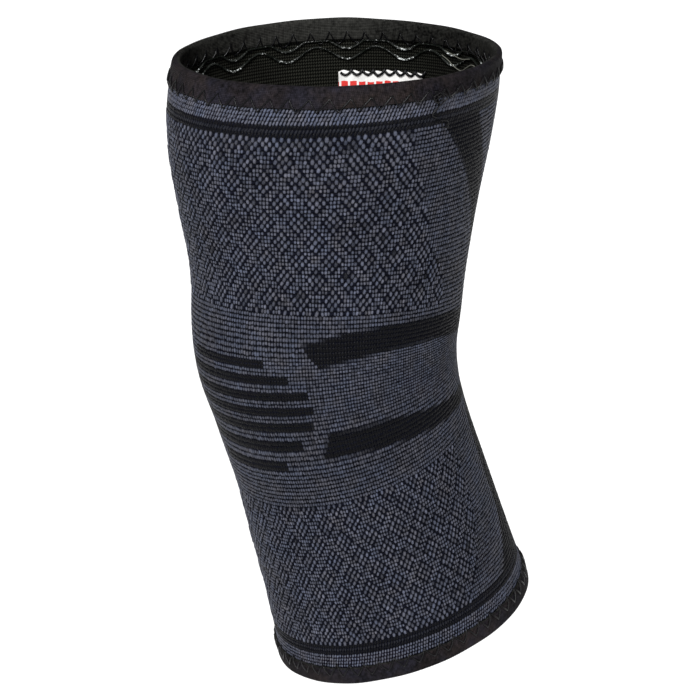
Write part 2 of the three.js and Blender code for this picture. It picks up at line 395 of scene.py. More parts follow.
def chart(zone, course, wale, down, turn):
    """How black each stitch of a zone is, and whether it's a coarse bump, left out or in a panel."""
    black = np.maximum(bar_cover(UPPER_BAR, down, turn), bar_cover(LOWER_BAR, down, turn))
    coarse = np.zeros(down.shape, bool)
    absent = np.zeros(down.shape, bool)
    inside = np.zeros(down.shape, bool)
    if zone in ("thigh", "calf"):
        panel = THIGH_PANEL if zone == "thigh" else CALF_PANEL
        inside = turn < between(panel, "edge", down)
        half = DIAMOND // 2
        u = np.abs((wale + half) % DIAMOND - half)
        v = np.abs((course + half) % DIAMOND - half)
        other_u, other_v = half - u, half - v
        near = np.minimum(u + v, other_u + other_v) <= DIAMOND_REACH
        first = course < PANEL_EDGE if zone == "thigh" else course > ZONES["calf"][2] - PANEL_EDGE
        even = (wale + course) % 2 == 0
        bumpy = inside & (near | first)
        coarse, absent = bumpy & even, bumpy & ~even
    if zone in HEM_LINES:
        lines, faded = HEM_LINES[zone]
        black[np.isin(course, lines)] = 1
        black[course == faded] = FADED
    else:
        black = np.maximum(black, strip_cover(down, turn))
    if zone == "kneecap":
        stripe = np.clip(course // STRIPE_COURSES, 0, len(KNEECAP_STRIPES) - 1)
        dark = np.isin(course % STRIPE_COURSES, (1, 2))
        black = np.maximum(black, dark * cover(np.take(KNEECAP_STRIPES, stripe) - turn, STEP_ROUND))
    coarse &= black < 0.5
    absent &= black < 0.5
    return black, coarse, absent, inside


# Sizes and colours

def size(name, value, description, **more):
    return bpy.props.FloatProperty(
        name=name, default=value, description=description, unit="LENGTH", min=0.0, precision=5, **more
    )


def whole_number(name, value, least, description):
    return bpy.props.IntProperty(name=name, default=value, min=least, description=description)


def degrees(name, value, description):
    return bpy.props.FloatProperty(
        name=name, default=math.radians(value), description=description, subtype="ANGLE"
    )


def colour(name, value, description):
    return bpy.props.FloatVectorProperty(
        name=name, default=value, description=description, subtype="COLOR", size=3, min=0.0, max=1.0
    )


class KneeSleeveKnit(bpy.types.PropertyGroup):
    wales: whole_number("Wales", 280, 40, "Stitches round the sleeve, a multiple of the diamond")
    stitch_rise: size("Stitch rise", 0.00032, "How far a plain stitch stands out")
    bump_rise: size("Bump rise", 0.00050, "How far a coarse stitch of a diamond stands out")
    sunk: size("Ground depth", 0.0003, "How far the ground between stitches lies under the sleeve's face")
    slate: colour("Slate yarn", (0.062, 0.071, 0.104), "Colour of the slate yarn")
    warm_slate: colour("Warm slate yarn", (0.077, 0.074, 0.084), "Colour of its warmer patches")
    black: colour("Black yarn", (0.0020, 0.0020, 0.0029), "Colour of the black yarn")
    # Painted shade: the loops between the stitches are coloured as dark as they look in their shade.
    shaded_ground: colour("Ground", (0.0016, 0.0018, 0.0036), "Colour of the loops between the stitches")
    lining: colour("Inside", (0.0040, 0.0041, 0.0033), "Colour of the inner face")
    seed: whole_number("Seed", 7, 0, "Seed of the yarn's unevenness")


class KneeSleeveBinding(bpy.types.PropertyGroup):
    pucker: size("Pucker", 0.00022, "How far the seam pulls the tape in")
    tape: colour("Tape", (0.0086, 0.0080, 0.0118), "Colour of the elastic tape")
    worn_tape: colour("Worn tape", (0.0122, 0.0092, 0.0088), "Colour of the tape's browner patches")
    inner_tape: colour("Inner tape", (0.0150, 0.0150, 0.0136), "Colour of the tape where it's turned inside")


class KneeSleeveSeam(bpy.types.PropertyGroup):
    thread_radius: size("Thread radius", 0.00030, "Radius of the seam thread")
    zigzags: whole_number("Zigzags", 52, 8, "Zigzags round each binding")
    thread: colour("Thread", (0.0020, 0.0020, 0.0026), "Colour of the seam thread")
    pale_thread: colour("Pale thread", (0.13, 0.13, 0.11), "Colour of the pale ends inside")


class KneeSleeveGrip(bpy.types.PropertyGroup):
    bead_radius: size("Bead radius", 0.00050, "Radius of the silicone beads")
    waves: whole_number("Waves", 16, 2, "Waves round the sleeve")
    # Painted light: glint and sheen colours painted on the beads where their attribute marks them.
    silicone: colour("Glinting silicone", (0.60, 0.63, 0.62), "Colour of glinting specks of silicone")
    painted_sheen: colour("Shiny silicone", (0.034, 0.037, 0.034), "Colour of silicone where it lies thick")
    over_knit: colour("Silicone over knit", (0.004, 0.005, 0.004), "Colour of clear silicone on black knit")


class KneeSleeveLabel(bpy.types.PropertyGroup):
    width: size("Width", 0.038, "Width of the label")
    height: size("Height", 0.020, "Height of the label")
    satin: colour("Satin", (0.80, 0.79, 0.77), "Colour of the label")
    dashes: colour("Dashes", (0.62, 0.03, 0.025), "Colour of the row of plain dashes")


class KneeSleeveStage(bpy.types.PropertyGroup):
    azimuth: degrees("Azimuth", 47.738, "Camera round from the kneecap")
    elevation: degrees("Elevation", 13.957, "Camera above the horizon")
    distance: size("Distance", 1.5, "Camera from the sleeve")
    floor: colour("Floor", (0.94, 0.94, 0.94), "Colour of the floor")


# Node groups, shaders and materials

def new_tree(name, kind, inputs, outputs):
    """Empty node group with its sockets, each input with a kind and a default, and its two end nodes."""
    tree = bpy.data.node_groups.new(name, kind)
    for label, (socket_kind, default) in inputs.items():
        socket = tree.interface.new_socket(label, in_out="INPUT", socket_type=f"NodeSocket{socket_kind}")
        if default is not None:
            socket.default_value = default
    for label, socket_kind in outputs.items():
        tree.interface.new_socket(label, in_out="OUTPUT", socket_type=f"NodeSocket{socket_kind}")
    return tree, tree.nodes.new("NodeGroupInput"), tree.nodes.new("NodeGroupOutput")


def feed(tree, socket, value):
    """Links a node's input to another's output, or sets it."""
    if isinstance(value, bpy.types.NodeSocket):
        tree.links.new(value, socket)
    else:
        socket.default_value = value


def put(tree, kind, settings=None, **sockets):
    """New node, with its settings, and its inputs fed by name, or by number as i0, i1 and so on."""
    node = tree.nodes.new(kind)
    for key, value in (settings or {}).items():
        setattr(node, key, value)
    for key, value in sockets.items():
        numbered = key[0] == "i" and key[1:].isdigit()
        feed(tree, node.inputs[int(key[1:]) if numbered else key.replace("_", " ")], value)
    return node


def math_node(tree, operation, first, second=0.0, third=0.0):
    return put(tree, "ShaderNodeMath", {"operation": operation}, i0=first, i1=second, i2=third).outputs[0]


def mix_colour(tree, factor, first, second, blend_type="MIX"):
    settings = {"data_type": "RGBA", "blend_type": blend_type}
    return put(tree, "ShaderNodeMix", settings, i0=factor, i6=first, i7=second).outputs[2]


def noise(tree, where, scale, detail=2.0, roughness=0.6):
    node = put(tree, "ShaderNodeTexNoise", Vector=where, Scale=scale, Detail=detail, Roughness=roughness)
    return node.outputs[0]


def ripple(tree, value, pitch):
    """Sine that comes round once in every pitch of the value."""
    return math_node(tree, "SINE", math_node(tree, "MULTIPLY", value, 2 * math.pi / pitch))


def shaded(tree, tint, shade):
    """Colour made lighter or darker by a factor."""
    grey = put(tree, "ShaderNodeCombineXYZ", i0=shade, i1=shade, i2=shade)
    return mix_colour(tree, 1.0, tint, grey.outputs[0], "MULTIPLY")


def object_place(tree):
    return tree.nodes.new("ShaderNodeTexCoord").outputs["Object"]


def uv_parts(tree, name):
    uv = put(tree, "ShaderNodeUVMap", {"uv_map": name}).outputs[0]
    return put(tree, "ShaderNodeSeparateXYZ", i0=uv).outputs


def attribute(tree, name):
    return put(tree, "ShaderNodeAttribute", {"attribute_name": name}).outputs["Fac"]


def fibre_group():
    """Unevenness of spun yarn: a colour made lighter and darker in patches, and a fine fibre height."""
    inputs = {
        "Colour": ("Color", (0.1, 0.1, 0.1, 1)),
        "Tone": ("Float", 0.5),
        "Fineness": ("Float", 2600.0),
        "Spread": ("Float", 0.5),
    }
    tree, start, end = new_tree("Fibre", "ShaderNodeTree", inputs, {"Colour": "Color", "Height": "Float"})
    where = object_place(tree)
    fibres = noise(tree, where, start.outputs["Fineness"])
    patches = noise(tree, where, scale=38.0, detail=2.0, roughness=0.5)
    wide = math_node(tree, "SUBTRACT", patches, 0.5)
    fine = math_node(tree, "SUBTRACT", fibres, 0.5)
    tone = math_node(tree, "SUBTRACT", start.outputs["Tone"], 0.5)
    total = math_node(tree, "ADD", math_node(tree, "MULTIPLY", wide, 0.7), fine)
    total = math_node(tree, "ADD", total, tone)
    factor = math_node(tree, "ADD", math_node(tree, "MULTIPLY", total, start.outputs["Spread"]), 1.0)
    tree.links.new(shaded(tree, start.outputs["Colour"], factor), end.inputs["Colour"])
    tree.links.new(fibres, end.inputs["Height"])
    return tree


def loop_rows_group():
    """Rows and columns of knitted loops from a UV map that counts wales and courses."""
    defaults = {"Row depth": 0.6, "Column depth": 0.4, "Loops across": 1.0, "Loops down": 1.0}
    inputs = {label: ("Float", value) for label, value in defaults.items()}
    tree, start, end = new_tree("Loop rows", "ShaderNodeTree", inputs, {"Height": "Float"})
    parts = uv_parts(tree, "Knit")
    wale_at = math_node(tree, "MULTIPLY", parts[0], start.outputs["Loops across"])
    course_at = math_node(tree, "MULTIPLY", parts[1], start.outputs["Loops down"])
    rows_at = math_node(tree, "ADD", course_at, math_node(tree, "MULTIPLY", ripple(tree, wale_at, 1), 0.12))
    row = math_node(tree, "ABSOLUTE", ripple(tree, rows_at, 2))
    column = math_node(tree, "ABSOLUTE", ripple(tree, wale_at, 2))
    row = math_node(tree, "MULTIPLY", row, start.outputs["Row depth"])
    column = math_node(tree, "MULTIPLY", column, start.outputs["Column depth"])
    tree.links.new(math_node(tree, "ADD", row, column), end.inputs["Height"])
    return tree


def material(name, roughness, specular=0.5):
    """New material with its tree and its Principled node."""
    made = bpy.data.materials.new(name)
    made.use_nodes = True
    tree = made.node_tree
    surface = next(node for node in tree.nodes if node.type == "BSDF_PRINCIPLED")
    surface.inputs["Roughness"].default_value = roughness
    surface.inputs["Specular IOR Level"].default_value = specular
    return made, tree, surface


def use_group(tree, name, build, **sockets):
    """Shared shader group, built the first time that it's used."""
    shared = bpy.data.node_groups.get(name) or build()
    return put(tree, "ShaderNodeGroup", {"node_tree": shared}, **sockets)


def use_fibre(tree, tint, fineness, spread, tone=0.5):
    inputs = {"Colour": tint, "Tone": tone, "Fineness": fineness, "Spread": spread}
    return use_group(tree, "Fibre", fibre_group, **inputs)


def raise_surface(tree, surface, height, distance, strength=1.0):
    bump = put(tree, "ShaderNodeBump", Height=height, Strength=strength, Distance=distance)
    tree.links.new(bump.outputs[0], surface.inputs["Normal"])


def rgba(values):
    return (*values, 1.0)


def yarn_material(knit):
    """Slate and black yarn, told apart by the attribute black, with painted shade at each stitch's foot."""
    made, tree, surface = material("Knit yarn", roughness=0.4, specular=0.07)
    black, tone, crown = (attribute(tree, name) for name in ("black", "tone", "crown"))
    where = object_place(tree)
    warm = math_node(tree, "MULTIPLY_ADD", noise(tree, where, scale=150.0), 2.0, -0.65)
    slate = mix_colour(tree, warm, rgba(knit.slate), rgba(knit.warm_slate))
    base = mix_colour(tree, black, slate, rgba(knit.black))
    fibre = use_fibre(tree, base, fineness=2600.0, spread=0.8, tone=tone)
    # Painted shade: each stitch fades from its yarn's colour at the crown to the dark colour of the gaps at
    # its foot.
    lit = math_node(tree, "POWER", crown, 1.7)
    tint = mix_colour(tree, lit, rgba(knit.shaded_ground), fibre.outputs["Colour"])
    tree.links.new(tint, surface.inputs["Base Color"])
    raise_surface(tree, surface, fibre.outputs["Height"], distance=0.0003, strength=0.6)
    return made


def wall_material(name, tint, depth, contrast, row_depth, across=1.0, down=1.0):
    """Loops of the knit's ground or of its inner face; contrast darkens the painted shade between them."""
    made, tree, surface = material(name, roughness=0.85, specular=0.03)
    fibre = use_fibre(tree, rgba(tint), fineness=1500.0, spread=1.6)
    rows = use_group(
        tree, "Loop rows", loop_rows_group,
        Row_depth=row_depth, Column_depth=1 - row_depth, Loops_across=across, Loops_down=down,
    )
    # Painted shade and light: the colour is darker between the loops and lighter on them.
    raised = math_node(tree, "POWER", math_node(tree, "MULTIPLY", rows.outputs["Height"], 1.3), contrast)
    shade = math_node(tree, "MULTIPLY_ADD", raised, 2.2, 0.05)
    tree.links.new(shaded(tree, fibre.outputs["Colour"], shade), surface.inputs["Base Color"])
    fuzz = math_node(tree, "MULTIPLY", fibre.outputs["Height"], 0.35)
    height = math_node(tree, "ADD", rows.outputs["Height"], fuzz)
    raise_surface(tree, surface, height, depth)
    return made


def tape_material(binding):
    """Elastic tape: fine lengthwise cords crossed by a finer weave, worn a little brown in places."""
    made, tree, surface = material("Elastic tape", roughness=0.75, specular=0.06)
    parts = uv_parts(tree, "Tape")
    where = object_place(tree)
    weave = math_node(tree, "MULTIPLY", ripple(tree, parts[0], TAPE_CORDS["along"]), 0.8)
    woven = math_node(tree, "ADD", ripple(tree, parts[1], TAPE_CORDS["across"]), weave)
    brown = math_node(tree, "MULTIPLY_ADD", noise(tree, where, scale=90.0, detail=3.0), 3.0, -1.0)
    face = mix_colour(tree, brown, rgba(binding.tape), rgba(binding.worn_tape))
    turned_in = math_node(tree, "GREATER_THAN", parts[1], TAPE_OUTSIDE + 1.0)
    base = mix_colour(tree, turned_in, face, rgba(binding.inner_tape))
    fibre = use_fibre(tree, base, fineness=700.0, spread=3.4)
    # Painted shade and light: the colour is darker between the cords and lighter on them.
    shade = math_node(tree, "MULTIPLY_ADD", woven, 0.16, 1.0)
    tree.links.new(shaded(tree, fibre.outputs["Colour"], shade), surface.inputs["Base Color"])
    height = math_node(tree, "MULTIPLY_ADD", fibre.outputs["Height"], 2.0, woven)
    raise_surface(tree, surface, height, distance=0.00006)
    return made


def thread_material(name, tint, roughness):
    made, tree, surface = material(name, roughness, specular=0.18)
    fibre = use_fibre(tree, rgba(tint), fineness=3200.0, spread=0.6)
    tree.links.new(fibre.outputs["Colour"], surface.inputs["Base Color"])
    raise_surface(tree, surface, fibre.outputs["Height"], distance=0.0001, strength=0.5)
    return made


def silicone_material(grip):
    """Clear silicone over black knit, dark and glossy, with painted sheen and painted glints where marked.
    """
    made, tree, surface = material("Clear silicone", roughness=0.25, specular=0.15)
    where = object_place(tree)
    thick = attribute(tree, "thick")
    # Painted sheen where the bead is marked, and painted glints where noise and that mark run high.
    body = mix_colour(tree, thick, rgba(grip.over_knit), rgba(grip.painted_sheen))
    level = math_node(tree, "MULTIPLY_ADD", thick, 0.24, noise(tree, where, scale=1100.0))
    painted_glint = put(tree, "ShaderNodeMapRange", {"clamp": True}, Value=level, From_Min=0.72, From_Max=0.76)
    tint = mix_colour(tree, painted_glint.outputs[0], body, rgba(grip.silicone))
    tree.links.new(tint, surface.inputs["Base Color"])
    raise_surface(tree, surface, noise(tree, where, scale=900.0, detail=1.0, roughness=0.5), distance=0.0008)
    return made


def label_material(label):
    """White woven satin with one row of plain dashes, darker in soft patches by painted shade."""
    made, tree, surface = material("Label satin", roughness=0.42, specular=0.4)
    across, below = uv_parts(tree, "Label")[:2]
    off = math_node(tree, "ABSOLUTE", math_node(tree, "SUBTRACT", below, DASHES["down"]))
    in_row = math_node(tree, "LESS_THAN", off, DASHES["half_height"])
    past = math_node(tree, "SUBTRACT", across, DASHES["first"])
    along = math_node(tree, "PINGPONG", past, DASHES["half_pitch"])
    in_dash = math_node(tree, "LESS_THAN", along, DASHES["half_width"])
    begun = math_node(tree, "GREATER_THAN", across, DASHES["start"])
    dashed = math_node(tree, "MULTIPLY", math_node(tree, "MULTIPLY", in_row, in_dash), begun)
    where = object_place(tree)
    # Painted shade: the satin is darker in soft patches, where its waves would shade it.
    painted_crease_shade = math_node(tree, "MULTIPLY_ADD", noise(tree, where, scale=170.0), 2.4, -1.05)
    cloth = mix_colour(tree, painted_crease_shade, rgba(label.satin), rgba(tuple(0.62 * c for c in label.satin)))
    base = mix_colour(tree, dashed, cloth, rgba(label.dashes))
    fibre = use_fibre(tree, base, fineness=1500.0, spread=0.3)
    tree.links.new(fibre.outputs["Colour"], surface.inputs["Base Color"])
    weft = math_node(tree, "MULTIPLY", ripple(tree, below, LABEL_CORDS["across"]), 0.6)
    height = math_node(tree, "ADD", ripple(tree, across, LABEL_CORDS["along"]), weft)
    raise_surface(tree, surface, height, distance=0.00004)
    return made


def floor_material(stage):
    made, tree, surface = material("Pale floor", roughness=0.9)
    where = object_place(tree)
    cloud = noise(tree, where, scale=3.0, detail=2.0, roughness=0.5)
    tint = mix_colour(tree, cloud, rgba(stage.floor), rgba(tuple(0.99 * c for c in stage.floor)))
    tree.links.new(tint, surface.inputs["Base Color"])
    return made


# Mesh helpers

def add_object(name, data):
    made = bpy.data.objects.new(name, data)
    bpy.context.scene.collection.objects.link(made)
    return made


def mesh_object(name, vertices, faces, edges=()):
    mesh = bpy.data.meshes.new(name)
    mesh.from_pydata(np.asarray(vertices).reshape(-1, 3).tolist(), edges, faces)
    mesh.update()
    return add_object(name, mesh)


def point_values(mesh, name, values):
    """Attribute with a number or a vector for each point of a mesh."""
    values = np.asarray(values, np.float32)
    kind, field = ("FLOAT_VECTOR", "vector") if values.ndim == 2 else ("FLOAT", "value")
    mesh.attributes.new(name, kind, "POINT").data.foreach_set(field, values.ravel())


def round_angles(steps):
    return np.arange(steps) * 2 * np.pi / steps


def smooth(made):
    made.data.polygons.foreach_set("use_smooth", np.ones(len(made.data.polygons), bool))
    made.data.update()


def ring_faces(steps, size):
    """Quads of a closed ring of loops, outer face first and going down."""
    step, corner = np.meshgrid(np.arange(steps), np.arange(size), indexing="ij")
    follow, after = (step + 1) % steps, (corner + 1) % size
    here, there = step * size, follow * size
    return np.stack([here + corner, here + after, there + after, there + corner], -1).reshape(-1, 4)


def ring_uv(made, name, steps, size, along, around):
    """UV map of a ring: u counts round it, v follows the loop, with no seam inside a face."""
    step, corner = np.meshgrid(np.arange(steps), np.arange(size), indexing="ij")
    u = np.stack([step, step, step + 1, step + 1], -1) * around / steps
    closed = np.append(along, along[0])
    v = np.stack([closed[corner], closed[corner + 1], closed[corner + 1], closed[corner]], -1)
    layer = made.data.uv_layers.new(name=name)
    layer.data.foreach_set("uv", np.stack([u, v], -1).reshape(-1).astype(np.float32))


def finish_piece(made, slot, *nodes):
    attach(made, "root")
    if nodes:
        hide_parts(*nodes)


# Geometry Nodes

def modifier_tree(name, **inputs):
    """Empty Geometry Nodes tree that takes in and gives out a geometry."""
    inputs = {"Geometry": ("Geometry", None), **inputs}
    tree, start, end = new_tree(name, "GeometryNodeTree", inputs, {"Geometry": "Geometry"})
    tree.is_modifier = True
    return tree, start, end


def solid(tree, geometry, paint):
    """Geometry made real, smooth and of one material."""
    real = put(tree, "GeometryNodeRealizeInstances", Geometry=geometry).outputs[0]
    soft = put(tree, "GeometryNodeSetShadeSmooth", Geometry=real).outputs[0]
    return put(tree, "GeometryNodeSetMaterial", Geometry=soft, Material=paint).outputs[0]


def stitch_tree():
    """One stitch on every point, turned by the attributes round_it and outward and sized by span."""
    inputs = {"Stitch": ("Object", None), "Fullness": ("Float", 1.0), "Yarn": ("Material", None)}
    tree, start, end = modifier_tree("Knit stitches", **inputs)
    around, outward, span = (
        put(tree, "GeometryNodeInputNamedAttribute", {"data_type": "FLOAT_VECTOR"}, Name=name).outputs[0]
        for name in ("round_it", "outward", "span")
    )
    axes = {"primary_axis": "Z", "secondary_axis": "X"}
    turned = put(tree, "FunctionNodeAxesToRotation", axes, i0=outward, i1=around)
    fullness = start.outputs["Fullness"]
    full = put(tree, "ShaderNodeVectorMath", {"operation": "SCALE"}, i0=span, Scale=fullness)
    stitch = put(tree, "GeometryNodeObjectInfo", Object=start.outputs["Stitch"])
    spread = put(
        tree, "GeometryNodeInstanceOnPoints",
        Points=start.outputs["Geometry"], Instance=stitch.outputs["Geometry"],
        Rotation=turned.outputs[0], Scale=full.outputs[0],
    )
    tree.links.new(solid(tree, spread.outputs[0], start.outputs["Yarn"]), end.inputs[0])
    return tree


def thread_tree():
    """A round thread along the edges of a path."""
    inputs = {"Radius": ("Float", 0.0002), "Sides": ("Int", THREAD_SIDES), "Thread": ("Material", None)}
    tree, start, end = modifier_tree("Thread", **inputs)
    path = put(tree, "GeometryNodeMeshToCurve", Mesh=start.outputs["Geometry"])
    girth = put(tree, "GeometryNodeInputNamedAttribute", {"data_type": "FLOAT"}, Name="girth").outputs[0]
    full = put(tree, "GeometryNodeSetCurveRadius", Curve=path.outputs[0], Radius=girth).outputs[0]
    sides, radius = start.outputs["Sides"], start.outputs["Radius"]
    ring = put(tree, "GeometryNodeCurvePrimitiveCircle", Resolution=sides, Radius=radius).outputs[0]
    tube = put(tree, "GeometryNodeCurveToMesh", Curve=full, Profile_Curve=ring, Fill_Caps=True)
    tree.links.new(solid(tree, tube.outputs[0], start.outputs["Thread"]), end.inputs[0])
    return tree


def grow(made, tree, **values):
    """Runs a tree on an object and keeps the result as its plain mesh."""
    modifier = made.modifiers.new("Grow", "NODES")
    modifier.node_group = tree
    for item in tree.interface.items_tree:
        if item.in_out == "INPUT" and item.name in values:
            modifier[item.identifier] = values[item.name]
    bpy.context.view_layer.update()
    grown = bpy.data.meshes.new_from_object(made.evaluated_get(bpy.context.evaluated_depsgraph_get()))
    if len(grown.polygons) == 0:
        raise RuntimeError(f"{made.name} grew no faces")
    made.modifiers.remove(modifier)
    path = made.data
    made.data = grown
    bpy.data.meshes.remove(path)
    grown.name = made.name


def path_object(name, points, closed, girth=1.0):
    """Path whose attribute girth is a share of its thread's radius."""
    count = len(points)
    edges = [(i, (i + 1) % count) for i in range(count if closed else count - 1)]
    made = mesh_object(name, points, [], edges)
    point_values(made.data, "girth", np.broadcast_to(girth, count))
    return made


def outward_faces(made):
    """Points the faces of closed tubes outwards."""
    work = bmesh.new()
    work.from_mesh(made.data)
    bmesh.ops.recalc_face_normals(work, faces=work.faces)
    work.to_mesh(made.data)
    work.free()


def spin(path, tree, radius, sides, thread, slot, *nodes):
    """Makes a path a piece of round thread."""
    grow(path, tree, Radius=radius, Sides=sides, Thread=thread)
    outward_faces(path)
    finish_piece(path, slot, *nodes)


# Pieces

def course_at(down):
    """Course number at a place down the sleeve, for the knit's UV map."""
    edges, counts = [0.0], [-HIDDEN_COURSES]
    total = 0
    for start, _, courses in ZONES.values():
        edges.append(start)
        counts.append(total)
        total += courses
    edges += [ZONES["lower_hem"][1], LENGTH]
    counts += [total, total + HIDDEN_COURSES]
    return np.interp(down, edges, counts)


def build_wall(knit):
    """Knitted wall: outer ground under the stitches and the inner face, closed under the bindings."""
    first = TAPE_OUTSIDE + GAP + SWELL
    faces = []
    for tape, hem, knitted in ((TAPE_OUTSIDE, HEM_OUT, -knit.sunk / MM), (TAPE_INSIDE, HEM_IN, -KNIT)):
        above = [(TAPE + GAP, hem), (tape + GAP, hem)]
        between_tapes = [(down, knitted) for down in np.linspace(first, LENGTH - first, WALL_RINGS)]
        faces.append(above + between_tapes + [(LENGTH - down, out) for down, out in above[::-1]])
    outer, inner = faces
    loop = np.array(outer + inner[::-1])
    steps, size = WALL_STEPS, len(loop)
    angles = round_angles(steps)
    points = place(loop[None, :, 0], angles[:, None], loop[None, :, 1])
    made = mesh_object("knit_wall", points, ring_faces(steps, size).tolist())
    ring_uv(made, "Knit", steps, size, course_at(loop[:, 0]), knit.wales)
    smooth(made)
    # The outer face takes the dark colour of the gaps between the stitches: painted shade.
    shaded_ground = {"depth": 0.0004, "contrast": 1.0, "row_depth": 0.7}
    lining = {"depth": 0.0005, "contrast": 3.2, "row_depth": 0.55, **INNER_LOOPS}
    made.data.materials.append(wall_material("Knit ground", knit.shaded_ground, **shaded_ground))
    made.data.materials.append(wall_material("Knit inside", knit.lining, **lining))
    corner = np.tile(np.arange(size), steps)
    inside = (corner >= len(outer)).astype(np.int32)
    made.data.polygons.foreach_set("material_index", inside)
    made.data.update()
    finish_piece(made, "knit", "knit_tube")


def unit_stitch():
    """Low rounded purl bump, one unit in radius and height, open below, where it sits in the ground."""
    work = bmesh.new()
    for turn in np.radians(np.arange(0, 360, 60)):
        work.verts.new((math.cos(turn), math.sin(turn), 0.0))
    for turn in np.radians((45, 135, 225, 315)):
        work.verts.new((CROWN * math.cos(turn), CROWN * math.sin(turn), 1.0))
    bmesh.ops.convex_hull(work, input=work.verts)
    under = [face for face in work.faces if all(vertex.co.z < 0.01 for vertex in face.verts)]
    bmesh.ops.delete(work, geom=under, context="FACES_ONLY")
    mesh = bpy.data.meshes.new("unit_stitch")
    work.to_mesh(mesh)
    work.free()
    # Each point's height, which the yarn's material uses to paint shade at the stitch's foot
    point_values(mesh, "crown", [vertex.co.z for vertex in mesh.vertices])
    return add_object("unit_stitch", mesh)


def stitch_kinds(zone, angle, coarse, patterned):
    """Row of the table of stitches for each stitch of a zone."""
    middle, half = PRESSED_HEM
    pressed = (zone == "upper_hem") & (np.abs(np.degrees(angle % (2 * np.pi)) - middle) < half)
    low_hem = np.full(angle.shape, zone == "lower_hem")
    hem = np.full(angle.shape, zone in HEM_LEAN)
    fits = [coarse, patterned, pressed, low_hem, hem]
    return np.array(list(STITCH_KINDS.values()))[np.select(fits, list(range(len(fits))), len(fits))]


def stitch_points(zone, knit, chance):
    """Places, directions, sizes and yarn of one zone's stitches."""
    start, stop, courses = ZONES[zone]
    places = np.linspace(start, stop, courses + 1)
    if zone == "kneecap":
        places = np.interp(np.arange(courses + 1), KNEECAP_COURSES["course"], KNEECAP_COURSES["down"])
    wale, course = np.meshgrid(np.arange(knit.wales), np.arange(courses), indexing="xy")
    pitch = np.diff(places)[course]
    shift = 0.5 if zone in STITCH_PIECES["stitches_knee"] else 0.0
    if zone in HEM_LEAN:
        shift = -HEM_SHIFT * course
    angle = (wale + shift) * 2 * np.pi / knit.wales
    down = places[course] + 0.5 * pitch
    turn = np.abs(np.degrees(np.arctan2(np.sin(angle), np.cos(angle))))
    black, coarse, absent, patterned = chart(zone, course, wale, down, turn)
    loose = np.where(coarse, BUMP_STRAY, 1.0)
    angle = angle + chance.normal(0, STRAY, angle.shape) * loose * 2 * np.pi / knit.wales
    down = down + chance.normal(0, STRAY, angle.shape) * loose * pitch
    keep = ~absent
    down, angle, pitch, black = down[keep], angle[keep], pitch[keep], black[keep]
    coarse, patterned = coarse[keep], patterned[keep]
    around, up, outward = directions(down, angle)
    half = np.pi / knit.wales
    wide = np.linalg.norm(place(down, angle + half, 0) - place(down, angle - half, 0), axis=1)
    tall = np.linalg.norm(place(down - pitch / 2, angle, 0) - place(down + pitch / 2, angle, 0), axis=1)
    lean = np.where(coarse, BUMP_LEAN, HEM_LEAN.get(zone, 0)) + chance.normal(0, LEAN_SPREAD, down.shape)
    slant = np.radians(lean)[:, None]
    leaning = around * np.cos(slant) + up * np.sin(slant)
    swell = chance.normal(1, SIZE_SPREAD, down.shape)
    width, height, spread, offset = stitch_kinds(zone, angle, coarse, patterned).T
    rise = np.where(coarse, knit.bump_rise, knit.stitch_rise)
    span = np.stack([width * wide * swell, height * tall * swell, rise * swell], -1)
    tone = 0.5 + chance.normal(0, 1, down.shape) * spread + offset
    return place(down, angle, -knit.sunk / MM - FOOT), leaning, outward, span, black, tone


def build_stitches(knit):
    """Purl stitches of the outer face, three pieces."""
    stitch = unit_stitch()
    tree = stitch_tree()
    yarn = yarn_material(knit)
    chance = np.random.default_rng(knit.seed)
    for name, zones in STITCH_PIECES.items():
        parts = [stitch_points(zone, knit, chance) for zone in zones]
        points, around, outward, span, black, tone = (np.concatenate(column) for column in zip(*parts))
        made = mesh_object(name, points, [])
        vectors = {"round_it": around, "outward": outward, "span": span}
        for label, values in (*vectors.items(), ("black", black), ("tone", tone)):
            point_values(made.data, label, values)
        grow(made, tree, Stitch=stitch, Fullness=1.0, Yarn=yarn)
        for label in vectors:
            made.data.attributes.remove(made.data.attributes[label])
        finish_piece(made, "knit")
    bpy.data.objects.remove(stitch)


def tape_loop():
    """Section of the folded tape as rows of down and out, outer lower edge first."""
    middle = (TAPE_OUT_FACE + TAPE_IN_FACE) / 2
    half = (TAPE_OUT_FACE - TAPE_IN_FACE) / 2
    rows = [(down, TAPE_OUT_FACE) for down in np.linspace(TAPE_OUTSIDE - TAPE_CORNER, FOLD_END, 9)]
    for turn in np.linspace(0, math.pi, 9)[1:-1]:
        rows.append((FOLD - FOLD * math.sin(turn), middle + half * math.cos(turn)))
    rows += [(down, TAPE_IN_FACE) for down in np.linspace(FOLD_END, TAPE_INSIDE - TAPE_CORNER, 7)]
    in_back, out_back = TAPE_IN_FACE + TAPE - TAPE_SLACK, TAPE_OUT_FACE - TAPE + TAPE_SLACK
    rows += [(TAPE_INSIDE, TAPE_IN_FACE + TAPE_CORNER), (TAPE_INSIDE, in_back), (TAPE + GAP, in_back)]
    rows += [(TAPE + GAP, out_back), (TAPE_OUTSIDE, out_back), (TAPE_OUTSIDE, TAPE_OUT_FACE - TAPE_CORNER)]
    return np.array(rows)


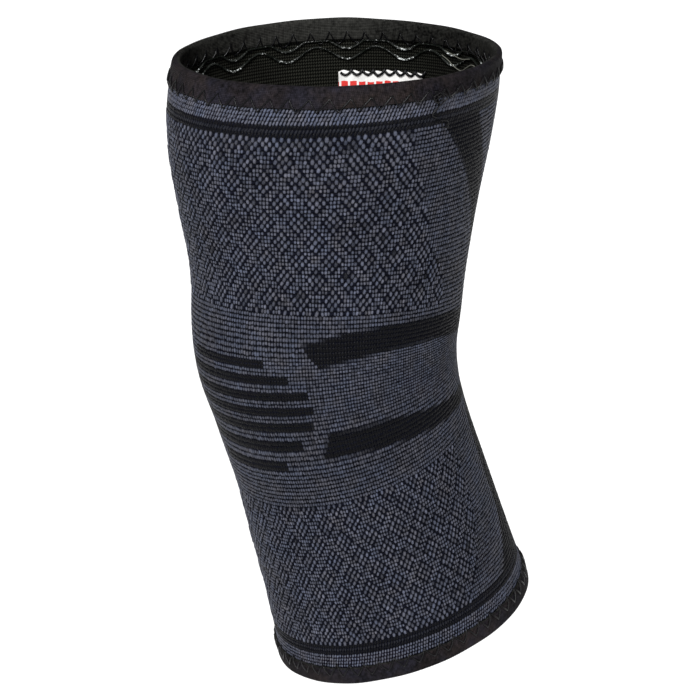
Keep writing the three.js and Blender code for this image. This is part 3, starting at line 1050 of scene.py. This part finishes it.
def build_bindings(binding, zigzags):
    """Elastic tape folded over both rims, drawn in a little at each stitch of its seam."""
    tape = tape_material(binding)
    loop = tape_loop()
    steps, size = TAPE_STEPS, len(loop)
    angles = round_angles(steps)
    path = np.concatenate([[0], np.cumsum(np.linalg.norm(np.diff(loop, axis=0), axis=1))])
    for side in ("upper", "lower"):
        flipped = side == "lower"
        down = np.repeat(loop[None, :, 0], steps, 0)
        out = np.repeat(loop[None, :, 1], steps, 0)
        edge = np.clip((down - DRAWN_FROM) / (TAPE_OUTSIDE - DRAWN_FROM), 0, 1) * (out > HEM_OUT)
        wave = np.cos(angles * zigzags)[:, None]
        slow = (np.sin(angles * 9 + 1.0) + 0.6 * np.sin(angles * 17 + 2.0))[:, None]
        out = out - edge * binding.pucker / MM * (0.5 + 0.5 * wave)
        down = down + edge * (EDGE_WAVE * wave + EDGE_WANDER * slow)
        rim = np.clip(1 - down / DRAWN_FROM, 0, 1)
        down = down + rim * RIM_WANDER * slow
        if flipped:
            down = LENGTH - down
        points = place(down, angles[:, None], out)
        faces = ring_faces(steps, size)
        made = mesh_object(f"tape_{side}", points, (faces if flipped else faces[:, ::-1]).tolist())
        ring_uv(made, "Tape", steps, size, path, TAPE_ROUND)
        if not flipped:
            flip_uv(made, "Tape")
        smooth(made)
        outward_faces(made)
        made.data.materials.append(tape)
        finish_piece(made, "tape", f"{side}_binding")


def flip_uv(made, name):
    """Reverses the corners of each quad in a UV map, as its faces were."""
    layer = made.data.uv_layers[name]
    values = np.zeros(len(layer.data) * 2, np.float32)
    layer.data.foreach_get("uv", values)
    layer.data.foreach_set("uv", values.reshape(-1, 4, 2)[:, ::-1].ravel())


def zigzag_path(count, low, high, first, levels, chance, hang=1.0, mirrored=False, sweep=2 * np.pi):
    """Points of a zigzag seam, pulled in where the needle went; a low hang rounds its lower turns.

    Levels are the down places of a step in the cloth, and how far out the thread lies before and after it.
    """
    at = np.arange(count * ZIGZAG_STEPS) / ZIGZAG_STEPS
    half = np.abs((at % 1) * 2 - 1)
    fall = np.sin((1 - half) * math.pi / 2) ** hang if hang < 1 else 1 - half
    uneven = np.interp(at, np.arange(2 * count + 1) / 2, chance.normal(0, UNEVEN, 2 * count + 1))
    angle = first + (at + UNEVEN_ROUND * uneven) * sweep / count
    down = high + (low - high) * fall + UNEVEN_DOWN * uneven
    out = np.interp(down, levels[0], levels[1]) - STITCH_DIP * (1 - np.sin(math.pi * (at * 2 % 1)))
    return place(LENGTH - down if mirrored else down, angle, out)


def build_seams(seam):
    """Zigzag seams on the outside and the inside of both bindings."""
    thread = thread_material("Seam thread", seam.thread, 0.28)
    tree = thread_tree()
    chance = np.random.default_rng(SEEDS["seams"])
    for side in ("upper", "lower"):
        for face, row, levels, hang in (
            ("outside", OUTSIDE_ZIGZAG, OUTSIDE_LEVELS, 1.0),
            ("inside", INSIDE_ZIGZAG, INSIDE_LEVELS, 0.8),
        ):
            points = zigzag_path(seam.zigzags, *row, levels, chance, hang, mirrored=side == "lower")
            made = path_object(f"zigzag_{side}_{face}", points, closed=True, girth=ZIGZAG_GIRTH)
            spin(made, tree, seam.thread_radius, THREAD_SIDES, thread, "tape")


def build_grip_lines(grip):
    """Two wavy beads of clear silicone inside the top."""
    silicone = silicone_material(grip)
    tree = thread_tree()
    chance = np.random.default_rng(SEEDS["beads"])
    steps = grip.waves * STEPS_PER_WAVE
    angle = round_angles(steps)
    for node, middle in GRIP_LINES.items():
        wave = np.cos(grip.waves * (angle - GRIP_START))
        free = middle - GRIP_SWING * wave + 0.05 * chance.normal(0, 1, steps)
        down = np.maximum(free, TAPE_INSIDE + BEAD_CLEAR)
        points = place(down, angle, BEAD_OUT)
        girth = 0.8 + 0.2 * np.clip(1 - wave, 0, 1) - 0.35 * (free < down)
        girth = girth + 0.06 * chance.normal(0, 1, steps)
        made = path_object(node.replace("grip_line", "silicone_bead"), points, closed=True, girth=girth)
        # Where sheen and glints are painted: most at each wave's troughs, less at its crests, in random
        # patches, none under the tape.
        patchy = np.interp(angle, angle[::13], chance.uniform(0.3, 1, len(angle[::13])))
        thick = np.clip(1.3 * patchy * (np.abs(wave - 0.3) - 0.3), 0, 1) * (free == down)
        point_values(made.data, "thick", thick)
        spin(made, tree, grip.bead_radius, BEAD_SIDES, silicone, "silicone", node)


def build_label(label):
    """Woven label on the inner back wall, sewn along its top edge."""
    columns, rows = LABEL_COLUMNS, LABEL_ROWS
    share = np.array(LABEL_TOP / LENGTH)
    mean = (blend("width", share) * KNEE_HALF_WIDTH + blend("depth", share) * KNEE_HALF_DEPTH) / 2
    sweep = label.width / MM / float(mean - KNIT)
    across, below = np.meshgrid(np.linspace(0, 1, columns + 1), np.linspace(0, 1, rows + 1), indexing="xy")
    angle = LABEL_ANGLE + sweep * (across - 0.5)
    down = LABEL_TOP + label.height / MM * below
    lift = LABEL_LIFT * np.sqrt(below) * np.sin(across * LABEL_WAVES + 2.5 * below) ** 2
    down = down + LABEL_PUCKER * (1 - below) ** 3 * np.cos(across * LABEL_PUCKERS)
    down = down + LABEL_SAG * np.sin(across * LABEL_WAVES) * (1 - below)
    layers = [place(down, angle, out - lift).reshape(-1, 3) for out in LABEL_FACES]
    count = (rows + 1) * (columns + 1)
    row, column = np.meshgrid(np.arange(rows), np.arange(columns), indexing="ij")
    corner = row * (columns + 1) + column
    quad = np.stack([corner, corner + columns + 1, corner + columns + 2, corner + 1], -1).reshape(-1, 4)
    faces = quad.tolist() + (quad[:, ::-1] + count).tolist()
    edge = list(range(columns + 1)) + [r * (columns + 1) + columns for r in range(1, rows + 1)]
    edge += [rows * (columns + 1) + c for c in range(columns - 1, -1, -1)]
    edge += [r * (columns + 1) for r in range(rows - 1, 0, -1)]
    for here, following in zip(edge, edge[1:] + edge[:1]):
        faces.append([here, following, following + count, here + count])
    made = mesh_object("woven_label", np.concatenate(layers), faces)
    outward_faces(made)
    smooth(made)
    u = np.tile((across * label.width / MM).ravel(), 2)
    v = np.tile((below * label.height / MM).ravel(), 2)
    corners = np.zeros(len(made.data.loops), np.int32)
    made.data.loops.foreach_get("vertex_index", corners)
    layer = made.data.uv_layers.new(name="Label")
    layer.data.foreach_set("uv", np.stack([u[corners], v[corners]], -1).ravel().astype(np.float32))
    made.data.materials.append(label_material(label))
    finish_piece(made, "label", "label")


def build_label_seam(label, seam):
    """Black zigzag over the label's top edge."""
    thread = thread_material("Label thread", seam.thread, 0.4)
    chance = np.random.default_rng(SEEDS["label_seam"])
    sweep = label.width / MM / LABEL_SEAM_RADIUS
    start = LABEL_ANGLE - 0.53 * sweep
    points = zigzag_path(LABEL_ZIGZAGS, *LABEL_TURNS, start, LABEL_LEVELS, chance, hang=0.6, sweep=sweep)
    made = path_object("label_seam", points, closed=False)
    spin(made, thread_tree(), seam.thread_radius * LABEL_GIRTH, THREAD_SIDES, thread, "label")


def curl(rows, samples=14):
    """Smooth path through rows of down, angle and out."""
    rows = np.array(rows, float)
    count = len(rows)
    slopes = np.gradient(rows, axis=0)
    points = []
    for index in range(count - 1):
        t = np.linspace(0, 1, samples, endpoint=index == count - 2)[:, None]
        points.append(smooth_step(t, rows[index], slopes[index], rows[index + 1], slopes[index + 1]))
    down, angle, out = np.concatenate(points).T
    return place(down, np.radians(angle), out)


def build_loose_ends(seam):
    """Backtack and loose ends of thread at the seam's start."""
    dark = thread_material("Loose thread", seam.thread, 0.4)
    pale = thread_material("Pale thread", seam.pale_thread, 0.4)
    tree = thread_tree()
    for ends, thread, share in ((LOOSE_ENDS, dark, 1.0), (PALE_ENDS, pale, PALE_GIRTH)):
        for name, rows in ends.items():
            made = path_object(name, curl(rows), closed=False)
            spin(made, tree, seam.thread_radius * share, THREAD_SIDES, thread, "tape")


# Stage

def point_along(made, direction):
    made.rotation_mode = "QUATERNION"
    made.rotation_quaternion = direction.to_track_quat("-Z", "Y")


def build_stage(stage):
    """Pale floor, soft lights and the camera at the photograph's angle."""
    turn, rise = stage.azimuth, stage.elevation
    back = Vector((math.sin(turn) * math.cos(rise), -math.cos(turn) * math.cos(rise), math.sin(rise)))
    right = Vector((math.cos(turn), math.sin(turn), 0.0))
    up = back.cross(right)
    data = bpy.data.cameras.new("Camera")
    data.sensor_width = 36.0
    data.lens = FOCAL_PIXELS * data.sensor_width / FRAME_PIXELS
    camera = add_object("Camera", data)
    aim = (right * LOOK_AT[0] + up * LOOK_AT[1] + LOOK_SHIFT) * MM
    camera.location = aim + back * stage.distance
    point_along(camera, -back)
    data.clip_start, data.clip_end = 0.05, 60.0
    bpy.context.scene.camera = camera

    low = CAD_BOX[0][2] - FLOOR_BELOW
    corners = [(x * FLOOR_HALF, y * FLOOR_HALF, low) for x, y in ((-1, -1), (1, -1), (1, 1), (-1, 1))]
    floor = mesh_object("Floor", corners, [(0, 1, 2, 3)])
    floor.data.materials.append(floor_material(stage))

    for name, (sideways, upward, toward, softness, power) in SUNS.items():
        light = bpy.data.lights.new(name, "SUN")
        light.angle, light.energy = math.radians(softness), power
        lamp = add_object(name, light)
        lamp.location = right * sideways + up * upward + back * toward
        point_along(lamp, -lamp.location)

    world = bpy.data.worlds.new("Soft room")
    world.use_nodes = True
    room = world.node_tree
    room.nodes["Background"].inputs[0].default_value = (1.0, 1.0, 1.0, 1.0)
    seen = room.nodes.new("ShaderNodeLightPath").outputs["Is Camera Ray"]
    room.links.new(math_node(room, "MAXIMUM", seen, ROOM_LIGHT), room.nodes["Background"].inputs[1])
    bpy.context.scene.world = world
    bpy.context.scene.view_settings.view_transform = "Standard"


# Operators and panel

class SLEEVE_OT_stage(bpy.types.Operator):
    """Make the floor, the lights and the camera."""

    bl_idname = "sleeve.stage"
    bl_label = "Stage"

    def execute(self, context):
        build_stage(context.scene.sleeve_stage)
        return {"FINISHED"}


class SLEEVE_OT_wall(bpy.types.Operator):
    """Make the knitted wall under the stitches."""

    bl_idname = "sleeve.wall"
    bl_label = "Knitted wall"

    def execute(self, context):
        build_wall(context.scene.sleeve_knit)
        return {"FINISHED"}


class SLEEVE_OT_stitches(bpy.types.Operator):
    """Make the patterned purl stitches of the outer face."""

    bl_idname = "sleeve.stitches"
    bl_label = "Stitches"

    def execute(self, context):
        build_stitches(context.scene.sleeve_knit)
        return {"FINISHED"}


class SLEEVE_OT_bindings(bpy.types.Operator):
    """Make the folded tape of both rims."""

    bl_idname = "sleeve.bindings"
    bl_label = "Bindings"

    def execute(self, context):
        build_bindings(context.scene.sleeve_binding, context.scene.sleeve_seam.zigzags)
        return {"FINISHED"}


class SLEEVE_OT_seams(bpy.types.Operator):
    """Sew the zigzag seams and leave their loose ends."""

    bl_idname = "sleeve.seams"
    bl_label = "Seams"

    def execute(self, context):
        build_seams(context.scene.sleeve_seam)
        build_loose_ends(context.scene.sleeve_seam)
        return {"FINISHED"}


class SLEEVE_OT_grip_lines(bpy.types.Operator):
    """Lay the silicone beads inside the top."""

    bl_idname = "sleeve.grip_lines"
    bl_label = "Grip lines"

    def execute(self, context):
        build_grip_lines(context.scene.sleeve_grip)
        return {"FINISHED"}


class SLEEVE_OT_label(bpy.types.Operator):
    """Sew in the woven label."""

    bl_idname = "sleeve.label"
    bl_label = "Label"

    def execute(self, context):
        build_label(context.scene.sleeve_label)
        build_label_seam(context.scene.sleeve_label, context.scene.sleeve_seam)
        return {"FINISHED"}


class SLEEVE_PT_panel(bpy.types.Panel):
    """Sizes and colours of the sleeve, and the steps that make it."""

    bl_idname = "SLEEVE_PT_panel"
    bl_label = "Knee sleeve"
    bl_space_type = "VIEW_3D"
    bl_region_type = "UI"
    bl_category = "Knee sleeve"

    def draw(self, context):
        for name in GROUPS:
            box = self.layout.box()
            settings = getattr(context.scene, name)
            for key in settings.__annotations__:
                box.prop(settings, key)
        for operator in OPERATORS:
            self.layout.operator(operator.bl_idname)


GROUPS = {
    "sleeve_knit": KneeSleeveKnit,
    "sleeve_binding": KneeSleeveBinding,
    "sleeve_seam": KneeSleeveSeam,
    "sleeve_grip": KneeSleeveGrip,
    "sleeve_label": KneeSleeveLabel,
    "sleeve_stage": KneeSleeveStage,
}
OPERATORS = (
    SLEEVE_OT_stage,
    SLEEVE_OT_wall,
    SLEEVE_OT_stitches,
    SLEEVE_OT_bindings,
    SLEEVE_OT_seams,
    SLEEVE_OT_grip_lines,
    SLEEVE_OT_label,
)


def register():
    for name, settings in GROUPS.items():
        bpy.utils.register_class(settings)
        setattr(bpy.types.Scene, name, bpy.props.PointerProperty(type=settings))
    for operator in OPERATORS:
        bpy.utils.register_class(operator)
    bpy.utils.register_class(SLEEVE_PT_panel)


def unregister():
    bpy.utils.unregister_class(SLEEVE_PT_panel)
    for operator in reversed(OPERATORS):
        bpy.utils.unregister_class(operator)
    for name, settings in GROUPS.items():
        delattr(bpy.types.Scene, name)
        bpy.utils.unregister_class(settings)


def main():
    register()
    bpy.ops.sleeve.stage()
    bpy.ops.sleeve.wall()
    bpy.ops.sleeve.stitches()
    bpy.ops.sleeve.bindings()
    bpy.ops.sleeve.seams()
    bpy.ops.sleeve.grip_lines()
    bpy.ops.sleeve.label()


if __name__ == "__main__":
    main()
